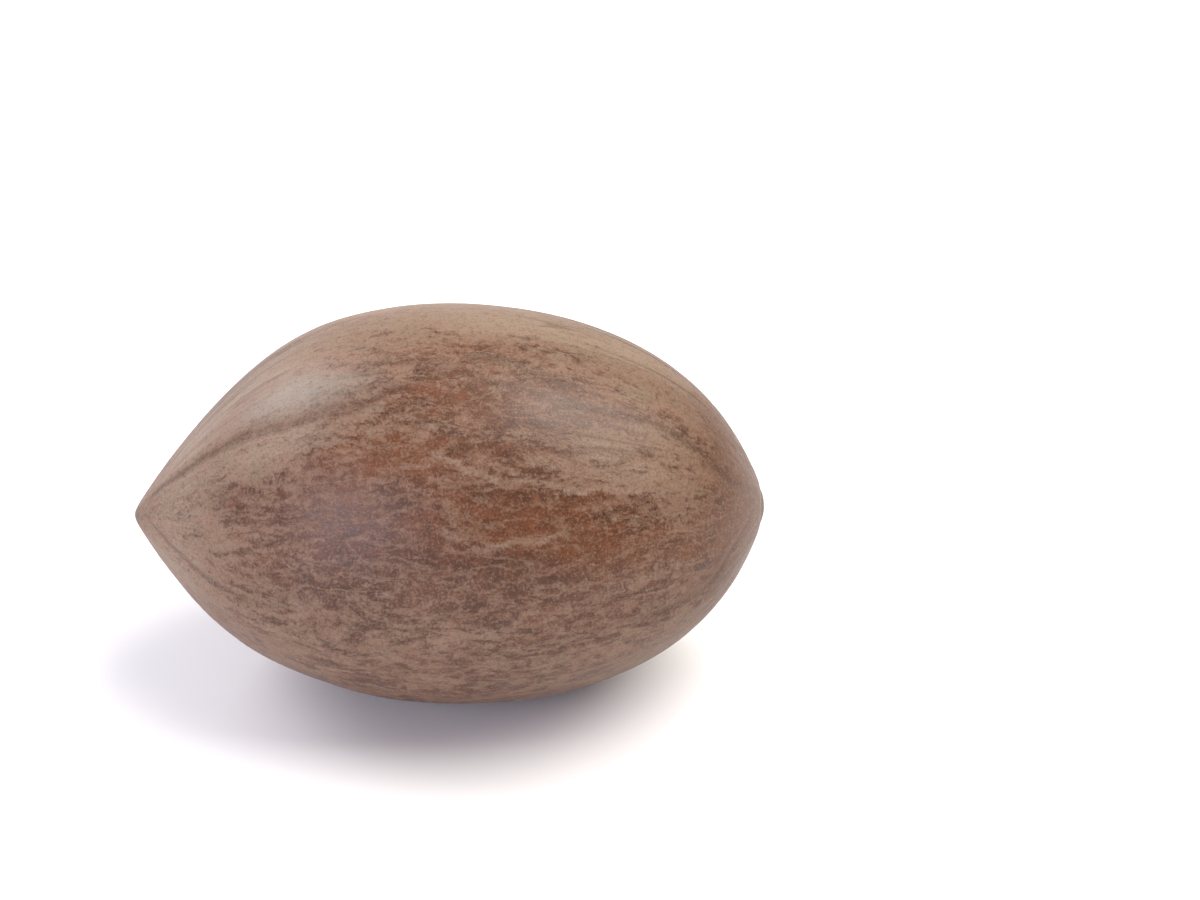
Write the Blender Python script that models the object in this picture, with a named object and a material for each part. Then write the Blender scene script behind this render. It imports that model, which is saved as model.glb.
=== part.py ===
"""A pecan in its shell, lying on its side.

The nut grew as one piece, so it is one closed solid. Its long axis runs along X,
with the pointed apex at -X and the blunter stem end at +X. It rests on a small
flat spot, and the origin lies on that surface, under the middle of the nut.
"""
import math

import bmesh
import bpy
from mathutils import Matrix

# Driving dimensions, in metres
LENGTH = 0.042
BELLY_RADIUS = 0.01346
APEX_NOSE_RADIUS = 0.00037
BASE_NOSE_RADIUS = 0.00058
APEX_DROOP = 0.0009
BASE_DROOP = 0.0002
FLAT_SPOT_DEPTH = 0.0001

# The outline: how steeply each end opens, how far past the tips the belly's
# ellipse would run, and how sharply the ends turn into the belly
APEX_STEEPNESS = 1.42
BASE_STEEPNESS = 2.24
BELLY_REACH = 1.007
BLEND_SHARPNESS = 4.1

# Both ends droop a little. The droop sets in between these places along the nut,
# which runs from -1 at the apex to 1 at the base.
APEX_DROOP_FROM = -0.35
APEX_DROOP_TO = -0.86
BASE_DROOP_FROM = 0.30
BASE_DROOP_TO = 0.90

# Four ridges run from tip to tip, two on the seam of the shell's halves and two between.
# Heights are shares of the radius there. A ridge swells near each end and all but
# sinks away at the belly.
RIDGE_COUNT = 4
SEAM_RIDGE = 0.085
SIDE_RIDGE = 0.075
BELLY_RIDGE = 0.016
BASE_RIDGE_SHARE = 0.35
APEX_RIDGE_PLACE = -0.70
APEX_RIDGE_SPREAD = 0.36
BASE_RIDGE_PLACE = 0.76
BASE_RIDGE_SPREAD = 0.26
RIDGE_SOFTNESS = 0.11

# The side ridges lean round from the quarter points, and all four twist near the stem end
SIDE_RIDGE_LEAN = math.radians(14)
BASE_TWIST = math.radians(-9)
BASE_TWIST_FROM = 0.10
BASE_TWIST_TO = 0.95

# Turn about the long axis in which the nut came to rest
ROLL = math.radians(67)

# A slow swell, as a share of the radius, that keeps the shell from looking turned
SWELL = 0.006
SWELL_LOBES = 3
SWELL_TWIST = 2.2

# Facets round the nut, and from tip to tip
SEGMENTS = 64
RINGS = 52

SHELL_COLOUR = (0.235, 0.120, 0.066, 1.0)
SHELL_ROUGHNESS = 0.45


def clear_scene():
    for thing in list(bpy.data.objects):
        bpy.data.objects.remove(thing, do_unlink=True)


def bump(along, place, spread):
    return math.exp(-((along - place) / spread) ** 2)


def outline_radius(along):
    """Radius of the plain outline: an ellipse for the belly, blended into a blunted cone at each end."""
    from_apex = (1 + along) * LENGTH / 2
    from_base = (1 - along) * LENGTH / 2
    if min(from_apex, from_base) <= 0:
        return 0.0
    limits = (
        APEX_STEEPNESS * math.sqrt(from_apex * (from_apex + 2 * APEX_NOSE_RADIUS)),
        BASE_STEEPNESS * math.sqrt(from_base * (from_base + 2 * BASE_NOSE_RADIUS)),
        BELLY_RADIUS * math.sqrt(1 - (along / BELLY_REACH) ** 2),
    )
    return sum(limit ** -BLEND_SHARPNESS for limit in limits) ** (-1 / BLEND_SHARPNESS)


def ramp(along, start, end):
    """Smooth rise from 0 at one place along the nut to 1 at another."""
    held = min(max((along - start) / (end - start), 0.0), 1.0)
    return held * held * (3 - 2 * held)


def droop(along):
    """How far the nut's middle line has sunk at a place along it."""
    apex_share = ramp(along, APEX_DROOP_FROM, APEX_DROOP_TO)
    base_share = ramp(along, BASE_DROOP_FROM, BASE_DROOP_TO)
    return APEX_DROOP * apex_share + BASE_DROOP * base_share


def ridge_height(along, angle):
    """Height of the ridges, as a share of the radius, with a seam ridge at angle zero."""
    untwisted = angle - BASE_TWIST * ramp(along, BASE_TWIST_FROM, BASE_TWIST_TO)
    leaned = untwisted - SIDE_RIDGE_LEAN * math.sin(untwisted) ** 2
    wave = math.sin(leaned * RIDGE_COUNT / 2)
    crest = 1 - math.sqrt(wave * wave + RIDGE_SOFTNESS ** 2) + RIDGE_SOFTNESS
    seam_share = (1 + math.cos(2 * leaned)) / 2
    tallest = SIDE_RIDGE + (SEAM_RIDGE - SIDE_RIDGE) * seam_share
    near_apex = bump(along, APEX_RIDGE_PLACE, APEX_RIDGE_SPREAD)
    near_base = bump(along, BASE_RIDGE_PLACE, BASE_RIDGE_SPREAD) * BASE_RIDGE_SHARE
    return crest * (BELLY_RIDGE + tallest * (near_apex + near_base))


def shell_point(along, angle):
    """Point of the shell's surface, for a place along the nut and an angle round it."""
    swell = SWELL * math.sin(SWELL_LOBES * angle + SWELL_TWIST * along)
    radius = outline_radius(along) * (1 + ridge_height(along, angle) + swell)
    turned = angle + ROLL
    return (
        along * LENGTH / 2,
        -radius * math.cos(turned),
        radius * math.sin(turned) - droop(along),
    )


def shape_shell(mesh):
    """Move each point of a unit sphere, whose poles lie on X, to its place on the shell."""
    for vertex in mesh.verts:
        along = min(max(vertex.co.x, -1.0), 1.0)
        angle = math.atan2(vertex.co.z, -vertex.co.y)
        vertex.co = shell_point(along, angle)


def press_flat_spot(mesh):
    """Press the lowest part of the belly flat, where the nut rests."""
    floor = min(vertex.co.z for vertex in mesh.verts) + FLAT_SPOT_DEPTH
    for vertex in mesh.verts:
        vertex.co.z = max(vertex.co.z, floor)


def stand_on_origin(mesh):
    """Bring the middle of the underside to the origin."""
    places_x, places_y, places_z = zip(*(vertex.co for vertex in mesh.verts))
    middle_x = (min(places_x) + max(places_x)) / 2
    middle_y = (min(places_y) + max(places_y)) / 2
    bmesh.ops.translate(mesh, verts=mesh.verts, vec=(-middle_x, -middle_y, -min(places_z)))


def shell_material():
    """Dry woody shell, tan-brown with a satin surface."""
    material = bpy.data.materials.new("pecan_shell")
    material.use_nodes = True
    shader = material.node_tree.nodes["Principled BSDF"]
    shader.inputs["Base Color"].default_value = SHELL_COLOUR
    shader.inputs["Roughness"].default_value = SHELL_ROUGHNESS
    shader.inputs["Metallic"].default_value = 0.0
    material.diffuse_color = SHELL_COLOUR
    return material


def make_pecan(collection):
    mesh = bmesh.new()
    poles_on_x = Matrix.Rotation(math.pi / 2, 4, "Y")
    bmesh.ops.create_uvsphere(
        mesh, u_segments=SEGMENTS, v_segments=RINGS, radius=1.0, matrix=poles_on_x
    )
    shape_shell(mesh)
    press_flat_spot(mesh)
    stand_on_origin(mesh)
    bmesh.ops.recalc_face_normals(mesh, faces=mesh.faces)
    data = bpy.data.meshes.new("pecan")
    mesh.to_mesh(data)
    mesh.free()
    data.shade_smooth()
    data.materials.append(shell_material())
    pecan = bpy.data.objects.new("pecan", data)
    collection.objects.link(pecan)
    return pecan


def main():
    clear_scene()
    collection = bpy.data.collections.new("pecan_in_shell")
    bpy.context.scene.collection.children.link(collection)
    make_pecan(collection)


main()
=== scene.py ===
"""A pecan in its shell, lying on a plain pale floor.

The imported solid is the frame. The fine shell here stands for it: the same form,
worked out by the same formula, with the shell's relief and its markings added.
"""
import math

import bmesh
import bpy
import numpy as np
from mathutils import Matrix, Vector, noise


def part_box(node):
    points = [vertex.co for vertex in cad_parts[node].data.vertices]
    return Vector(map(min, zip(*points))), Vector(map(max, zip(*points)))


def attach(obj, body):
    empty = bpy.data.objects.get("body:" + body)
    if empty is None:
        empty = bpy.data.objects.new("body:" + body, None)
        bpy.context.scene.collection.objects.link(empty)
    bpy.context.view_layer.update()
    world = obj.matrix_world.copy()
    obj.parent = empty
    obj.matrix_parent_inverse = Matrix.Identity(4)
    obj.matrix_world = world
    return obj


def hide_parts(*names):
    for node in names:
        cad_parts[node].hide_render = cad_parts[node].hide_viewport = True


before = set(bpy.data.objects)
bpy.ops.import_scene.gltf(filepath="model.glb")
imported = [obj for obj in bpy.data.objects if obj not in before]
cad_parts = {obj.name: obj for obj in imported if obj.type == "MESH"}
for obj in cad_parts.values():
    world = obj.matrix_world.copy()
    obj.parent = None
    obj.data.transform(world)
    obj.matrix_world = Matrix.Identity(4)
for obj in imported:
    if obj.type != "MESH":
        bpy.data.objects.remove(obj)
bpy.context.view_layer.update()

# The solid's box gives the scale: its length is 42 mm of the real nut
BOX_LOW, BOX_HIGH = (Vector(corner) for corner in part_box("pecan"))
NUT_LENGTH = BOX_HIGH.x - BOX_LOW.x
MM = NUT_LENGTH / 42.0

# The shell's form, with the same values as the solid
BELLY_RADIUS = 13.46 * MM
APEX_NOSE_RADIUS = 0.37 * MM
BASE_NOSE_RADIUS = 0.58 * MM
APEX_DROOP = 0.9 * MM
BASE_DROOP = 0.2 * MM
FLAT_SPOT_DEPTH = 0.1 * MM
APEX_STEEPNESS = 1.42
BASE_STEEPNESS = 2.24
BELLY_REACH = 1.007
BLEND_SHARPNESS = 4.1
APEX_DROOP_FROM = -0.35
APEX_DROOP_TO = -0.86
BASE_DROOP_FROM = 0.30
BASE_DROOP_TO = 0.90
RIDGE_COUNT = 4
SEAM_RIDGE = 0.085
SIDE_RIDGE = 0.075
BELLY_RIDGE = 0.016
BASE_RIDGE_SHARE = 0.35
APEX_RIDGE_PLACE = -0.70
APEX_RIDGE_SPREAD = 0.36
BASE_RIDGE_PLACE = 0.76
BASE_RIDGE_SPREAD = 0.26
SIDE_RIDGE_LEAN = math.radians(14)
BASE_TWIST = math.radians(-9)
BASE_TWIST_FROM = 0.10
BASE_TWIST_TO = 0.95
ROLL = math.radians(67)
SWELL = 0.006
SWELL_LOBES = 3
SWELL_TWIST = 2.2

# The fine shell follows a sharper ridge than the solid does, with a shallow groove beside it
RIDGE_SOFTNESS = 0.05
RIDGE_GROOVE_MM = 0.07

# The shell's own unevenness: the length and width of its lumps in mm, a seed, and its height in mm
DENTS = ((9.0, 6.0), 11.3, 0.09)
FLUTES = ((11.0, 1.9), 3.7, 0.055)
WRINKLES = ((3.4, 0.75), 27.1, 0.018)

# What the wrinkles gain in height by the tips, in mm, and the places between which they gain it
WRINKLE_TIP_GAIN = 0.05
WRINKLE_GAIN_FROM = 0.60
WRINKLE_GAIN_TO = 0.95

# Facets of the fine shell, round it and from tip to tip
SEGMENTS = 352
RINGS = 276

# How far the lengthwise marks draw together at the tips: 0 is fully, 1 not at all. The long lines
# and streaks draw together fully, and the patches only partly.
GRAIN_OPENNESS = 0.35
LINE_OPENNESS = 0.0

# Steps in which the distance over the shell is walked
WALK_STEPS = 2001

# The crease beside each seam ridge, a shallow groove whose shade is also painted into the colour as a
# dark line: its place along the nut in mm from the middle, and its turn from the seam ridge there in
# degrees. Both painted shade lines beside a ridge are this wide in mm at the belly and thin out towards
# the tips, where they fade away over the last stretch.
CREASE_PLACE = (-20.0, -17.0, -13.5, -10.4, -7.7, -5.7, -3.3, 0.0, 8.0, 13.4, 16.3, 18.6)
CREASE_TURN = (-2, -5, -6, -8, -7, -6, 0, 4, -5, -5, -10.5, -20)
CREASE_WIDTH = 0.48
CREASE_FADE_FROM = 19.0
CREASE_FADE_TO = 20.8

# The strength of the crease's painted shade at the belly, and what it gains by the tips
CREASE_STRENGTH = 0.55
CREASE_TIP_GAIN = 0.45

# The painted shade line beside a side ridge: its strength, and the places between which it comes in
SIDE_LINE_STRENGTH = 0.8
SIDE_LINE_FROM = 0.35
SIDE_LINE_TO = 0.80

# How far from a side ridge that line runs, in mm, and how much further at the stem end, where
# it is the edge of a fold
SIDE_LINE_OFFSET = 1.3
STEM_FOLD_OFFSET = 1.4
STEM_FOLD_FROM = 0.78
STEM_FOLD_TO = 0.91

# The scar where the nut hung: the ring's radius and width and its depth, in mm
SCAR_RADIUS = 1.25
SCAR_WIDTH = 0.32
SCAR_DEPTH = 0.05

# How far back the apex's grey-green tip and the stem end's browner skin reach, in mm
NOSE_REACH = 0.5
STEM_END_REACH = 4.2

# Regions of the shell that differ: mm from the middle, degrees round from the upper seam
# ridge, half length in mm, half width in degrees, and how strong they are. First, where the
# skin under the scurf is rust-coloured.
RUST_REGIONS = (
    (1.5, 12, 5.5, 8, 0.9),
    (2.5, -4, 5.0, 8, 0.8),
    (-4.5, -21, 6.5, 7, 1.2),
    (3.0, -38, 6.5, 11, 0.9),
    (9.0, -48, 4.5, 8, 0.6),
    (15.4, -52, 2.6, 8, 0.9),
    (18.8, -35, 1.8, 50, 0.6),
    (-15.2, -29, 2.2, 12, 0.9),
    (7.0, -71, 4.5, 7, 0.7),
    (-2.0, -84, 4.0, 6, 0.5),
    (-11.0, -55, 4.0, 8, 0.4),
    (-3.0, 150, 6.0, 14, 0.9),
    (6.0, -150, 5.0, 12, 0.8),
    (-9.0, 95, 4.0, 12, 0.6),
    (9.0, 70, 4.5, 12, 0.6),
)

# Where the scurf is thicker and paler, or thinner and darker where the strength is negative. Part of this
# is painted light and shade: the top and the lit upper flank are painted paler, and the front and the
# shaded tip of the stem end darker.
PALE_SCURF_AND_PAINTED_LIGHT_REGIONS = (
    (0.0, 45, 17.0, 24, 1.4),
    (-12.0, 16, 6.0, 14, 1.2),
    (7.0, 27, 8.0, 10, 1.2),
    (10.0, -15, 5.0, 9, 0.9),
    (3.2, -4, 5.5, 7, -1.8),
    (-17.5, -35, 2.6, 60, 1.1),
    (-19.0, -80, 3.0, 40, 0.5),
    (-11.5, -14, 4.0, 10, 1.3),
    (12.5, 25, 3.0, 9, 0.7),
    (16.5, -10, 3.0, 50, 0.4),
    (19.4, -30, 2.2, 90, -1.4),
    (18.3, -40, 2.0, 34, -0.6),
    (12.8, -28, 3.2, 9, 0.7),
    (11.5, -52, 3.0, 7, -0.5),
    (-4.6, -45, 2.4, 5, -0.7),
    (-1.3, -50, 2.0, 6, 0.4),
    (-6.0, -9, 5.0, 5, 0.5),
    (7.0, -25, 4.0, 5, 0.45),
    (3.0, 6, 11.0, 5, 0.45),
    (1.0, -70, 10.0, 7, 0.4),
    (0.0, -73, 4.5, 6, 0.5),
    (-9.0, -72, 6.0, 14, 0.25),
    (1.0, -98, 15.0, 22, 0.35),
    (2.0, -52, 13.0, 24, -0.8),
    (3.0, -42, 6.0, 11, -0.7),
    (-17.5, 150, 2.6, 60, 0.9),
    (17.5, 150, 3.0, 80, 0.9),
    (4.0, -170, 9.0, 16, 0.8),
)

# The smoothest regions, which take the light most evenly
SMOOTH_REGIONS = (
    (-12.0, 10, 6.0, 14, 1.0),
    (-7.5, -37, 5.0, 10, 0.8),
    (9.0, -11, 5.5, 10, 0.8),
    (-6.0, 110, 5.0, 12, 0.8),
    (8.0, 160, 5.0, 12, 0.8),
    (-8.0, -160, 5.0, 12, 0.8),
)

# Where a grey bloom, the dried film of the husk, is left on the shell. The first region, on the upper
# flank, also holds a painted highlight: the grey-white sheen of the light from the left.
BLOOM_AND_PAINTED_HIGHLIGHT_REGIONS = (
    (-9.0, 2, 4.6, 9, 1.0),
    (-3.0, 120, 7.0, 12, 0.45),
    (6.0, -140, 7.0, 12, 0.35),
)

# Regions where dark flecks gather
FLECK_REGIONS = (
    (-9.0, -14, 2.6, 7, 1.1),
    (-15.5, -20, 2.2, 14, 0.9),
    (-17.3, -40, 2.6, 30, 0.95),
    (-1.0, 8, 5.0, 5, 1.0),
    (5.0, 4, 4.0, 6, 0.8),
    (4.0, -50, 4.5, 5, 0.7),
    (-1.0, -63, 6.0, 5, 0.6),
    (15.0, -42, 3.0, 12, 0.6),
    (12.0, 14, 4.0, 6, 0.5),
    (-4.0, 100, 5.0, 8, 0.8),
    (8.0, 130, 4.0, 8, 0.7),
    (-10.0, 175, 4.0, 10, 0.8),
    (3.0, -125, 5.0, 8, 0.7),
)

# Regions where fine dark lines run lengthwise
LINE_REGIONS = (
    (-14.5, 38, 7.5, 34, 1.35),
    (12.5, 40, 8.5, 28, 1.35),
    (10.5, -14, 5.0, 10, 0.8),
    (-17.0, -35, 2.6, 30, 0.55),
    (-15.0, -92, 5.5, 18, 0.7),
    (14.5, -98, 5.0, 20, 0.6),
    (-15.0, 165, 6.5, 55, 1.1),
    (14.5, 165, 6.5, 55, 1.1),
)

REGIONS = {
    "rust": RUST_REGIONS,
    "pale_scurf_and_painted_light": PALE_SCURF_AND_PAINTED_LIGHT_REGIONS,
    "smooth": SMOOTH_REGIONS,
    "bloom_and_painted_highlight": BLOOM_AND_PAINTED_HIGHLIGHT_REGIONS,
    "fleck_zone": FLECK_REGIONS,
    "line_zone": LINE_REGIONS,
}

# Two long pale veins on the front: each one's places along the nut in mm from the middle, and its
# turn there in degrees round from the upper seam ridge
LONG_VEINS = (
    (
        (-0.7, 0.2, 1.2, 2.3, 3.2, 4.4, 5.8, 7.0, 8.2, 9.4, 11.4),
        (-21, -22.5, -26, -26, -29, -27.5, -28, -29, -31, -29, -30),
    ),
    (
        (-0.2, 0.9, 1.8, 3.0, 4.2, 5.7, 6.8),
        (-42, -44.5, -47, -46, -44.5, -45, -43),
    ),
)

# How far a long vein's edge lies from its middle, in mm
LONG_VEIN_REACH = 0.26

# The scurf thickens a little towards the ends, between these places
NEAR_END_FROM = 0.20
NEAR_END_TO = 0.75

# What the shell keeps on its points for its finish
SHELL_MASKS = (
    "rust", "pale_scurf_and_painted_light", "smooth", "bloom_and_painted_highlight", "fleck_zone", "ridge_shade", "near_end", "line_zone",
    "long_vein", "nose", "stem_end", "scar",
)

# Noise patterns of the finish: what each follows, its lump's length along the grain and width
# round it in mm, its detail and its roughness. Grit and pores lie evenly on the skin. Real pores
# are finer than 0.1 mm, and are drawn at 0.17 mm so that they still show.
SHELL_PATTERNS = {
    "slow_sway": ("grain", 6.0, 2.4, 1.0, 0.5),
    "quick_sway": ("grain", 1.1, 0.7, 2.0, 0.6),
    "cover": ("grain", 9.0, 3.6, 3.0, 0.6),
    "patch": ("swayed", 3.6, 1.5, 3.0, 0.6),
    "blotch": ("swayed", 0.9, 0.66, 5.0, 0.8),
    "island": ("swayed", 1.7, 0.5, 2.0, 0.55),
    "strand": ("swayed", 3.8, 1.2, 2.0, 0.5),
    "streak": ("drawn_grain", 9.0, 0.60, 2.0, 0.6),
    "line": ("drawn_grain", 22.0, 1.5, 1.0, 0.5),
    "grit": ("skin", 0.40, 0.40, 3.0, 1.0),
    "pore": ("skin", 0.17, 0.17, 1.0, 0.8),
    "fleck": ("swayed", 0.60, 0.32, 4.0, 0.85),
    "fleck_group": ("grain", 3.4, 1.5, 2.0, 0.6),
    "rust_patch": ("swayed", 2.2, 1.2, 3.0, 0.65),
    "tint": ("grain", 3.0, 1.3, 3.0, 0.6),
}

# The patterns that sway the grain for the marks that follow the swayed grain, and how far they
# move it along and round the nut, in mm
SWAY_REACH = {"slow_sway": (0.0, 2.0, 2.0), "quick_sway": (0.6, 0.6, 0.6)}

# The middle of a noise pattern's values. Thin marks run where a pattern is near it.
NOISE_MIDDLE = 0.5

# Coats of the shell from the skin up: what brings each one on and how much each of these
# weighs, the sums at which it starts and is fullest, how far it then hides what lies under it,
# and its colour
SKIN_COLOUR = "#42240f"
SHELL_COATS = {
    "light_skin": ({"patch": 0.5, "blotch": 0.5}, 0.36, 0.64, 1.0, "#603822"),
    "rust": (
        {"rust": 0.40, "rust_patch": 0.8, "cover": 0.5, "blotch": 1.2}, 1.22, 1.92, 0.80, "#6d3f20",
    ),
    "scurf": (
        {
            "cover": 0.5, "patch": 0.4, "island": 1.1, "blotch": 1.25, "grit": 0.4,
            "pale_scurf_and_painted_light": 0.20, "rust": -0.15, "near_end": 0.08,
        },
        1.66, 2.14, 0.92, "#81624e",
    ),
    "grey_scurf": ({"scurf": 0.8, "tint": 2.4}, 1.60, 2.25, 0.50, "#736651"),
    "veins": (
        {"off_strand": -4.5, "blotch": 1.15, "grit": 0.4, "cover": -0.4, "rust": -0.05},
        0.22, 0.74, 0.65, "#806450",
    ),
    "long_veins": (
        {"long_vein": 0.7, "blotch": 1.3, "island": 0.9, "grit": 0.4}, 1.36, 2.05, 0.55, "#907865",
    ),
    "worn_smooth": ({"smooth": 1.0}, 0.0, 1.1, 0.40, "#6b5040"),
    # The bleached coat, and the scurf more weakly, follow the pale mask, so they carry its painted light
    # and shade
    "bleached_and_painted_light": ({"pale_scurf_and_painted_light": 0.30, "streak": 0.6, "blotch": 0.5}, 0.62, 1.22, 0.62, "#9a8773"),
    # The bloom coat's grey on the upper flank is a painted highlight as well as bloom
    "bloom_and_painted_highlight": ({"bloom_and_painted_highlight": 1.0, "blotch": 0.5, "cover": 0.4}, 0.60, 1.40, 0.50, "#857e72"),
    "stem_end": (
        {"stem_end": 1.0, "blotch": 1.6, "island": 1.2, "streak": 0.8}, 1.76, 2.70, 0.78, "#5a3309",
    ),
    "end_lines": (
        {"off_line": -7.0, "line_zone": 0.60, "blotch": 0.6}, 0.40, 0.90, 0.60, "#482a0f",
    ),
    # Painted shade: a dark coat along the creases beside the ridges
    "ridge_painted_shade": ({"ridge_shade": 0.6, "blotch": 1.2, "streak": 0.6}, 0.97, 1.50, 0.70, "#472810"),
    "flecks": (
        {"fleck": 1.0, "fleck_group": 0.6, "grit": 0.6, "fleck_zone": 0.17}, 1.24, 1.48, 0.80, "#432912",
    ),
    "nose": ({"nose": 1.0, "blotch": 0.6}, 0.50, 1.30, 0.60, "#544733"),
    "scar": ({"scar": 1.0, "blotch": 0.8}, 0.60, 1.40, 0.60, "#3a2413"),
    "dust": ({"pore": 1.0, "grit": 0.8, "smooth": -0.03}, 0.87, 1.20, 0.38, "#8a7465"),
    "pits": (
        {"pore": -1.0, "grit": -0.8, "smooth": -0.03, "bloom_and_painted_highlight": -0.06}, -0.90, -0.58, 0.55, "#3a1d0c",
    ),
}

# Roughness of the shell and height of its fine relief: a start, and what adds to it
SHELL_ROUGHNESS = (0.35, {"scurf": 0.10, "grit": 0.10, "smooth": -0.05})
SHELL_HEIGHT = (0.0, {"scurf": 0.5, "veins": 0.3, "grit": 0.5, "flecks": -0.5})
SHELL_FINE_RELIEF_MM = 0.05
SHELL_RELIEF_STRENGTH = 0.6

# Dried woody shell with a trace of its own wax
SHELL_IOR = 1.45

# Soft square lights: place in metres, side in metres, power in watts, and colour
LIGHTS = {
    "wide_overhead": ((0.31, 0.01, 0.51), 0.50, 5.1, "#fffbf4"),
    "window_left": ((-0.45, 0.28, 0.40), 0.46, 3.6, "#fbfaff"),
    "cool_low_left": ((-0.29, -0.41, 0.18), 0.34, 1.45, "#eae7ff"),
}

# The pale room round the nut, and its dim, warm wall on the right: how far to the right it begins
# and is full, from 0 straight ahead to 1 at the right
ROOM_BRIGHTNESS = 0.48
ROOM_COLOUR = "#f4f3fb"
WARM_WALL_COLOUR = "#836a55"
WARM_WALL_FROM = 0.1
WARM_WALL_TO = 0.8

# The floor's side, in metres
FLOOR_SIDE = 3.0

# Where the camera stands: its distance from the nut's middle line, its height above the
# horizon, and where the photograph shows the nut's middle, in pixels of its 1200 by 900 frame
PHOTO_WIDTH = 1200
PHOTO_HEIGHT = 900
NUT_MIDDLE_X = 450.4
NUT_MIDDLE_Y = 500.9
PIXELS_PER_MM = 14.976
CAMERA_DISTANCE = 235 * MM
CAMERA_ELEVATION = math.radians(33)
SENSOR_WIDTH = 36.0


def linear(hex_colour):
    """Turns an sRGB hex colour into the linear one that a shader takes."""
    channels = [int(hex_colour[i:i + 2], 16) / 255 for i in (1, 3, 5)]
    parts = [c / 12.92 if c <= 0.04045 else ((c + 0.055) / 1.055) ** 2.4 for c in channels]
    return (*parts, 1.0)


def bump(along, place, spread):
    return np.exp(-((along - place) / spread) ** 2)


def ramp(along, start, end):
    """Smooth rise from 0 at one place along the nut to 1 at another."""
    held = np.clip((along - start) / (end - start), 0.0, 1.0)
    return held * held * (3 - 2 * held)


def outline_radius(along):
    """Radius of the plain outline: an ellipse for the belly, blended into a blunted cone at each end."""
    tiny = 1e-6 * MM
    from_apex = (1 + along) * NUT_LENGTH / 2 + tiny
    from_base = (1 - along) * NUT_LENGTH / 2 + tiny
    limits = (
        APEX_STEEPNESS * np.sqrt(from_apex * (from_apex + 2 * APEX_NOSE_RADIUS)),
        BASE_STEEPNESS * np.sqrt(from_base * (from_base + 2 * BASE_NOSE_RADIUS)),
        BELLY_RADIUS * np.sqrt(1 - (along / BELLY_REACH) ** 2),
    )
    return sum((limit / MM) ** -BLEND_SHARPNESS for limit in limits) ** (-1 / BLEND_SHARPNESS) * MM


def droop(along):
    apex_share = ramp(along, APEX_DROOP_FROM, APEX_DROOP_TO)
    base_share = ramp(along, BASE_DROOP_FROM, BASE_DROOP_TO)
    return APEX_DROOP * apex_share + BASE_DROOP * base_share


def from_ridges(along, angle):
    """The angle round the nut as its ridges see it: seam ridges at 0 and pi, side ridges between."""
    untwisted = angle - BASE_TWIST * ramp(along, BASE_TWIST_FROM, BASE_TWIST_TO)
    return untwisted - SIDE_RIDGE_LEAN * np.sin(untwisted) ** 2


def ridge_height(along, angle):
    """Height of the ridges, as a share of the radius."""
    leaned = from_ridges(along, angle)
    wave = np.sin(leaned * RIDGE_COUNT / 2)
    crest = 1 - np.sqrt(wave * wave + RIDGE_SOFTNESS ** 2) + RIDGE_SOFTNESS
    seam_share = (1 + np.cos(2 * leaned)) / 2
    tallest = SIDE_RIDGE + (SEAM_RIDGE - SIDE_RIDGE) * seam_share
    near_apex = bump(along, APEX_RIDGE_PLACE, APEX_RIDGE_SPREAD)
    near_base = bump(along, BASE_RIDGE_PLACE, BASE_RIDGE_SPREAD) * BASE_RIDGE_SHARE
    return crest * (BELLY_RIDGE + tallest * (near_apex + near_base))


def shell_radius(along, angle):
    swell = SWELL * np.sin(SWELL_LOBES * angle + SWELL_TWIST * along)
    return outline_radius(along) * (1 + ridge_height(along, angle) + swell)


def surface_length(along):
    """Distance over the shell from its middle, in metres, which counts the steep ends in full."""
    steps = -np.cos(np.linspace(0, math.pi, WALK_STEPS))
    rise = np.diff(outline_radius(steps))
    run = np.diff(steps) * NUT_LENGTH / 2
    walked = np.concatenate([[0], np.cumsum(np.hypot(rise, run))])
    return np.interp(along, steps, walked - np.interp(0, steps, walked))


def grain_places(along, angle, openness):
    """Each point's place in millimetres along the grain and round it, for marks that follow the grain."""
    radius = outline_radius(along)
    spread = BELLY_RADIUS * (radius / BELLY_RADIUS) ** openness
    return np.stack(
        [surface_length(along), spread * np.cos(angle), spread * np.sin(angle)], axis=1
    ) / MM


def uneven(grain, lump, seed, height):
    """Smooth noise of that height at each place along the grain, with lumps of that length and width."""
    sizes = Vector(lumps(*lump))
    offset = Vector((seed, seed, seed))
    return np.array([noise.noise(Vector(place) * sizes + offset) for place in grain]) * height


def shell_relief(along, angle, grain):
    """Height of the shell's own unevenness: slow dents, lengthwise flutes and fine wrinkles."""
    thinning = np.sqrt(outline_radius(along) / BELLY_RADIUS)
    lump, seed, height = WRINKLES
    wrinkle_height = height + WRINKLE_TIP_GAIN * ramp(np.abs(along), WRINKLE_GAIN_FROM, WRINKLE_GAIN_TO)
    wrinkles = uneven(grain, lump, seed, wrinkle_height)
    grooves = ridge_shade(along, angle) * RIDGE_GROOVE_MM
    return ((uneven(grain, *DENTS) + uneven(grain, *FLUTES) + wrinkles) * thinning - grooves) * MM


def loft_ball(rings, segments):
    """Places along and round a ball with its poles on X, and the faces that close it."""
    polar = np.linspace(0, math.pi, rings + 1)[1:-1]
    around = np.arange(segments) * 2 * math.pi / segments
    along = np.concatenate([[-1.0], np.repeat(-np.cos(polar), segments), [1.0]])
    angle = np.concatenate([[0.0], np.tile(around, rings - 1), [0.0]])
    last = len(along) - 1
    faces = []
    for step in range(segments):
        after = (step + 1) % segments
        faces.append((0, 1 + after, 1 + step))
        faces.append((last, last - segments + step, last - segments + after))
    for ring in range(rings - 2):
        row = 1 + ring * segments
        for step in range(segments):
            after = (step + 1) % segments
            faces.append((row + step, row + after, row + segments + after, row + segments + step))
    return along, angle, faces


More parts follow.
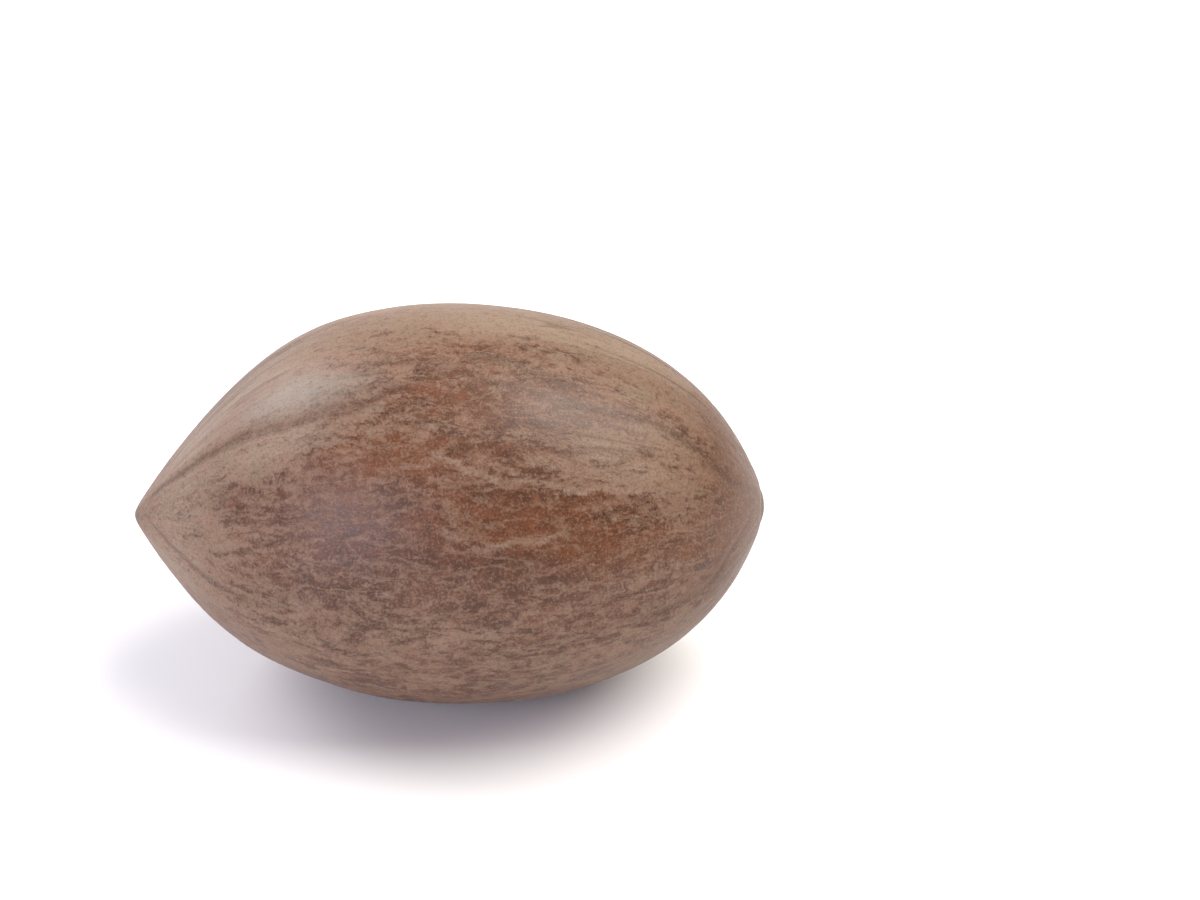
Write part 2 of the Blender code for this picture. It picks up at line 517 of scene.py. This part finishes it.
def region_strength(regions, along, angle):
    """Each point's share of the regions: a region's strength in its middle, fading to 0 round it."""
    length_mm = along * NUT_LENGTH / 2 / MM
    strength = np.zeros(len(along))
    for middle_mm, middle_deg, half_length_mm, half_width_deg, amount in regions:
        off_round = (np.degrees(angle) - middle_deg + 180) % 360 - 180
        off = ((length_mm - middle_mm) / half_length_mm) ** 2 + (off_round / half_width_deg) ** 2
        strength += amount * np.exp(-off)
    return strength


def ridge_shade(along, angle):
    """Painted shade: dark lines beside the ridges where their creases shade, strongest towards the ends.
    They also set the groove's depth.
    """
    length_mm = along * NUT_LENGTH / 2 / MM
    radius_mm = outline_radius(along) / MM
    crease = np.radians(np.interp(length_mm, CREASE_PLACE, CREASE_TURN))
    beside_seam = radius_mm * np.sin(angle - crease)
    line_offset = SIDE_LINE_OFFSET + STEM_FOLD_OFFSET * ramp(along, STEM_FOLD_FROM, STEM_FOLD_TO)
    beside_side = radius_mm * np.cos(from_ridges(along, angle)) - line_offset
    width = CREASE_WIDTH * np.sqrt(radius_mm * MM / BELLY_RADIUS)
    towards_tip = np.abs(along)
    seam_line = np.exp(-(beside_seam / width) ** 2) * (CREASE_STRENGTH + CREASE_TIP_GAIN * towards_tip)
    side_line = np.exp(-(beside_side / width) ** 2) * ramp(towards_tip, SIDE_LINE_FROM, SIDE_LINE_TO)
    fade = ramp(np.abs(length_mm), CREASE_FADE_TO, CREASE_FADE_FROM)
    return (seam_line + SIDE_LINE_STRENGTH * side_line) * fade


def long_vein(along, angle):
    """The long pale veins: 1 in the middle of one, fading to 0 beside it and beyond its ends."""
    length_mm = along * NUT_LENGTH / 2 / MM
    radius_mm = outline_radius(along) / MM
    strength = np.zeros(len(along))
    for places, turns in LONG_VEINS:
        middle = np.radians(np.interp(length_mm, places, turns))
        beside = radius_mm * np.sin(angle - middle) / LONG_VEIN_REACH
        beyond = np.maximum(np.maximum(places[0] - length_mm, length_mm - places[-1]), 0)
        facing = np.cos(angle - middle) > 0
        strength += np.exp(-beside ** 2 - beyond ** 2) * facing
    return strength


def scar_ring(along):
    """The ring round the stem end: 1 in its groove, 0 away from it."""
    off_ring = (outline_radius(along) / MM - SCAR_RADIUS) / SCAR_WIDTH
    return np.exp(-off_ring ** 2) * (along > 0)


def shell_places(along, angle, grain):
    """Where the points of the fine shell lie: on the solid's own form, with the relief added."""
    radius = shell_radius(along, angle)
    turned = angle + ROLL
    plain_y = -radius * np.cos(turned)
    plain_z = radius * np.sin(turned) - droop(along)
    shift_y = (BOX_LOW.y + BOX_HIGH.y) / 2 - (plain_y.min() + plain_y.max()) / 2
    shift_z = BOX_LOW.z - plain_z.min() - FLAT_SPOT_DEPTH
    radius = radius + shell_relief(along, angle, grain)
    pressed_in = scar_ring(along) * SCAR_DEPTH * MM
    return np.stack([
        along * NUT_LENGTH / 2 + (BOX_LOW.x + BOX_HIGH.x) / 2 - pressed_in,
        -radius * np.cos(turned) + shift_y,
        np.maximum(radius * np.sin(turned) - droop(along) + shift_z, BOX_LOW.z),
    ], axis=1)


def store(data, name, values):
    """Keeps a number or a vector on each point of a mesh."""
    is_vector = values.ndim == 2
    layer = data.attributes.new(name, "FLOAT_VECTOR" if is_vector else "FLOAT", "POINT")
    layer.data.foreach_set("vector" if is_vector else "value", values.ravel())


def mark_shell(data, along, angle, grain):
    """Keeps on the shell's points the values that its finish reads."""
    from_apex_mm = (along + 1) * NUT_LENGTH / 2 / MM
    from_base_mm = (1 - along) * NUT_LENGTH / 2 / MM
    store(data, "grain", grain)
    store(data, "drawn_grain", grain_places(along, angle, LINE_OPENNESS))
    for name, regions in REGIONS.items():
        store(data, name, region_strength(regions, along, angle))
    store(data, "ridge_shade", ridge_shade(along, angle))
    store(data, "near_end", ramp(np.abs(along), NEAR_END_FROM, NEAR_END_TO))
    store(data, "long_vein", long_vein(along, angle))
    store(data, "nose", np.exp(-(from_apex_mm / NOSE_REACH) ** 2))
    store(data, "stem_end", np.exp(-(from_base_mm / STEM_END_REACH) ** 2))
    store(data, "scar", scar_ring(along))


def build_shell():
    """The fine shell of the nut, in one closed mesh."""
    along, angle, faces = loft_ball(RINGS, SEGMENTS)
    grain = grain_places(along, angle, GRAIN_OPENNESS)
    data = bpy.data.meshes.new("pecan_shell")
    data.from_pydata(shell_places(along, angle, grain).tolist(), [], faces)
    mark_shell(data, along, angle, grain)
    data.update()
    data.shade_smooth()
    shell = bpy.data.objects.new("pecan_shell", data)
    bpy.context.scene.collection.objects.link(shell)
    return shell


def add_node(tree, kind, inputs=None, **settings):
    """Adds a node. An input is a value, or another node's output that is linked to it."""
    node = tree.nodes.new(kind)
    for name, value in settings.items():
        setattr(node, name, value)
    for socket, value in (inputs or {}).items():
        if isinstance(value, bpy.types.NodeSocket):
            tree.links.new(value, node.inputs[socket])
        else:
            node.inputs[socket].default_value = value
    return node


def lumps(length_mm, width_mm):
    """Scale of a pattern whose lumps are that long along the grain and that wide round it."""
    return (1 / length_mm, 1 / width_mm, 1 / width_mm)


def add_patterns(tree, values):
    """Adds the noise patterns of the finish to its values, each laid along what it follows."""
    places = {
        name: add_node(tree, "ShaderNodeAttribute", attribute_name=name).outputs["Vector"]
        for name in ("grain", "drawn_grain")
    }
    object_place = add_node(tree, "ShaderNodeTexCoord").outputs["Object"]
    skin = add_node(tree, "ShaderNodeVectorMath", {0: object_place, "Scale": 1 / MM}, operation="SCALE")
    places["skin"] = skin.outputs[0]
    places["swayed"] = places["grain"]
    for name, (follows, length_mm, width_mm, detail, roughness) in SHELL_PATTERNS.items():
        scaled = add_node(
            tree, "ShaderNodeVectorMath", {0: places[follows], 1: lumps(length_mm, width_mm)},
            operation="MULTIPLY",
        )
        pattern = add_node(
            tree, "ShaderNodeTexNoise",
            {"Vector": scaled.outputs[0], "Scale": 1.0, "Detail": detail, "Roughness": roughness},
        )
        values[name] = pattern.outputs["Fac"]
        if name in SWAY_REACH:
            sway = add_node(
                tree, "ShaderNodeVectorMath",
                {0: pattern.outputs["Color"], 1: SWAY_REACH[name], 2: places["swayed"]},
                operation="MULTIPLY_ADD",
            )
            places["swayed"] = sway.outputs[0]


def add_thin_marks(tree, values):
    """Adds how far the strands and lines are from the middle of their noise, where they run thin."""
    for name in ("strand", "line"):
        off = add_node(tree, "ShaderNodeMath", {0: values[name], 1: NOISE_MIDDLE}, operation="SUBTRACT")
        values["off_" + name] = add_node(
            tree, "ShaderNodeMath", {0: off.outputs[0]}, operation="ABSOLUTE",
        ).outputs[0]


def weigh(tree, values, weights, start):
    """The sum of a start and the named values, each times its weight."""
    total = start
    for name, weight in weights.items():
        total = add_node(
            tree, "ShaderNodeMath", {0: values[name], 1: weight, 2: total}, operation="MULTIPLY_ADD",
        ).outputs[0]
    return total


def lay_coats(tree, values):
    """Lays the coats over the skin from the bottom up, adds them to the values and gives the colour."""
    colour = linear(SKIN_COLOUR)
    for name, (weights, low, high, most, hex_colour) in SHELL_COATS.items():
        amount = weigh(tree, values, weights, 0.0)
        values[name] = add_node(
            tree, "ShaderNodeMapRange",
            {"Value": amount, "From Min": low, "From Max": high, "To Min": 0.0, "To Max": most},
            interpolation_type="SMOOTHSTEP",
        ).outputs[0]
        colour = add_node(
            tree, "ShaderNodeMix", {0: values[name], 6: colour, 7: linear(hex_colour)},
            data_type="RGBA",
        ).outputs[2]
    return colour


def shell_material():
    """Pecan shell, grown and dried: a brown, satin woody skin under a thin, dull tan scurf that has
    rubbed off in wavy patches along the grain, with rust-coloured patches, dark flecks and streaks. Its
    colour also holds painted light and shade: a painted highlight on the upper flank, painted shade
    beside the ridges, a paler top and a darker front."""
    material = bpy.data.materials.new("pecan_shell_grown_and_dried")
    material.use_nodes = True
    tree = material.node_tree
    shader = tree.nodes["Principled BSDF"]
    values = {
        name: add_node(tree, "ShaderNodeAttribute", attribute_name=name).outputs["Fac"]
        for name in SHELL_MASKS
    }
    add_patterns(tree, values)
    add_thin_marks(tree, values)
    tree.links.new(lay_coats(tree, values), shader.inputs["Base Color"])

    start, weights = SHELL_ROUGHNESS
    tree.links.new(weigh(tree, values, weights, start), shader.inputs["Roughness"])
    start, weights = SHELL_HEIGHT
    relief = add_node(tree, "ShaderNodeBump", {
        "Height": weigh(tree, values, weights, start),
        "Strength": SHELL_RELIEF_STRENGTH,
        "Distance": SHELL_FINE_RELIEF_MM * MM,
    })
    tree.links.new(relief.outputs[0], shader.inputs["Normal"])
    shader.inputs["IOR"].default_value = SHELL_IOR
    return material


def floor_material():
    """Matt white painted board, which gives an even pale ground."""
    material = bpy.data.materials.new("matt_white_board")
    material.use_nodes = True
    shader = material.node_tree.nodes["Principled BSDF"]
    shader.inputs["Base Color"].default_value = linear("#f2f2f2")
    shader.inputs["Roughness"].default_value = 0.9
    shader.inputs["Specular IOR Level"].default_value = 0.1
    return material


def build_floor():
    """A plain floor under the nut."""
    mesh = bmesh.new()
    bmesh.ops.create_grid(mesh, x_segments=1, y_segments=1, size=FLOOR_SIDE / 2)
    data = bpy.data.meshes.new("floor")
    mesh.to_mesh(data)
    mesh.free()
    data.materials.append(floor_material())
    floor = bpy.data.objects.new("floor", data)
    floor.location.z = BOX_LOW.z
    bpy.context.scene.collection.objects.link(floor)


def add_light(name, place, side, power, colour):
    """A soft square light that faces the nut."""
    data = bpy.data.lights.new(name, "AREA")
    data.shape = "SQUARE"
    data.size = side
    data.energy = power
    data.color = linear(colour)[:3]
    light = bpy.data.objects.new(name, data)
    light.location = place
    middle = (BOX_LOW + BOX_HIGH) / 2
    light.rotation_euler = (Vector(place) - middle).to_track_quat("Z", "Y").to_euler()
    bpy.context.scene.collection.objects.link(light)


def light_studio():
    """Soft lights in a pale room, whose right-hand wall is a dim, warm one."""
    for name, settings in LIGHTS.items():
        add_light(name, *settings)
    world = bpy.data.worlds.new("pale_studio")
    bpy.context.scene.world = world
    world.use_nodes = True
    tree = world.node_tree
    direction = add_node(tree, "ShaderNodeTexCoord").outputs["Generated"]
    across = add_node(tree, "ShaderNodeSeparateXYZ", {0: direction}).outputs["X"]
    to_right = add_node(
        tree, "ShaderNodeMapRange",
        {"Value": across, "From Min": WARM_WALL_FROM, "From Max": WARM_WALL_TO},
        interpolation_type="SMOOTHSTEP",
    ).outputs[0]
    # The backdrop that the camera sees stays pale
    seen = add_node(tree, "ShaderNodeLightPath").outputs["Is Camera Ray"]
    dimmed = add_node(
        tree, "ShaderNodeMath", {0: to_right, 1: seen}, operation="SUBTRACT", use_clamp=True,
    )
    walls = add_node(
        tree, "ShaderNodeMix",
        {0: dimmed.outputs[0], 6: linear(ROOM_COLOUR), 7: linear(WARM_WALL_COLOUR)},
        data_type="RGBA",
    )
    background = tree.nodes["Background"]
    tree.links.new(walls.outputs[2], background.inputs["Color"])
    background.inputs["Strength"].default_value = ROOM_BRIGHTNESS


def place_camera():
    """A camera where the photograph was taken from, turned so that the nut is off the middle."""
    middle = Vector((
        (BOX_LOW.x + BOX_HIGH.x) / 2, (BOX_LOW.y + BOX_HIGH.y) / 2, BOX_LOW.z + BELLY_RADIUS,
    ))
    focal_pixels = PIXELS_PER_MM * CAMERA_DISTANCE / MM
    data = bpy.data.cameras.new("camera")
    data.sensor_width = SENSOR_WIDTH
    data.lens = focal_pixels / PHOTO_WIDTH * SENSOR_WIDTH
    data.clip_start = 0.01
    camera = bpy.data.objects.new("camera", data)
    away = Vector((0, -math.cos(CAMERA_ELEVATION), math.sin(CAMERA_ELEVATION)))
    pan = math.atan((PHOTO_WIDTH / 2 - NUT_MIDDLE_X) / focal_pixels)
    tilt = math.atan((NUT_MIDDLE_Y - PHOTO_HEIGHT / 2) / focal_pixels)
    turns = ((math.pi / 2 - CAMERA_ELEVATION, "X"), (-pan, "Y"), (tilt, "X"))
    camera.matrix_world = Matrix.Translation(middle + away * CAMERA_DISTANCE)
    for turn, axis in turns:
        camera.matrix_world = camera.matrix_world @ Matrix.Rotation(turn, 4, axis)
    bpy.context.scene.collection.objects.link(camera)
    bpy.context.scene.camera = camera


bpy.context.scene.view_settings.view_transform = "Standard"
place_camera()
light_studio()
build_floor()
shell = build_shell()
shell.data.materials.append(shell_material())
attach(shell, "root")
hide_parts("pecan")
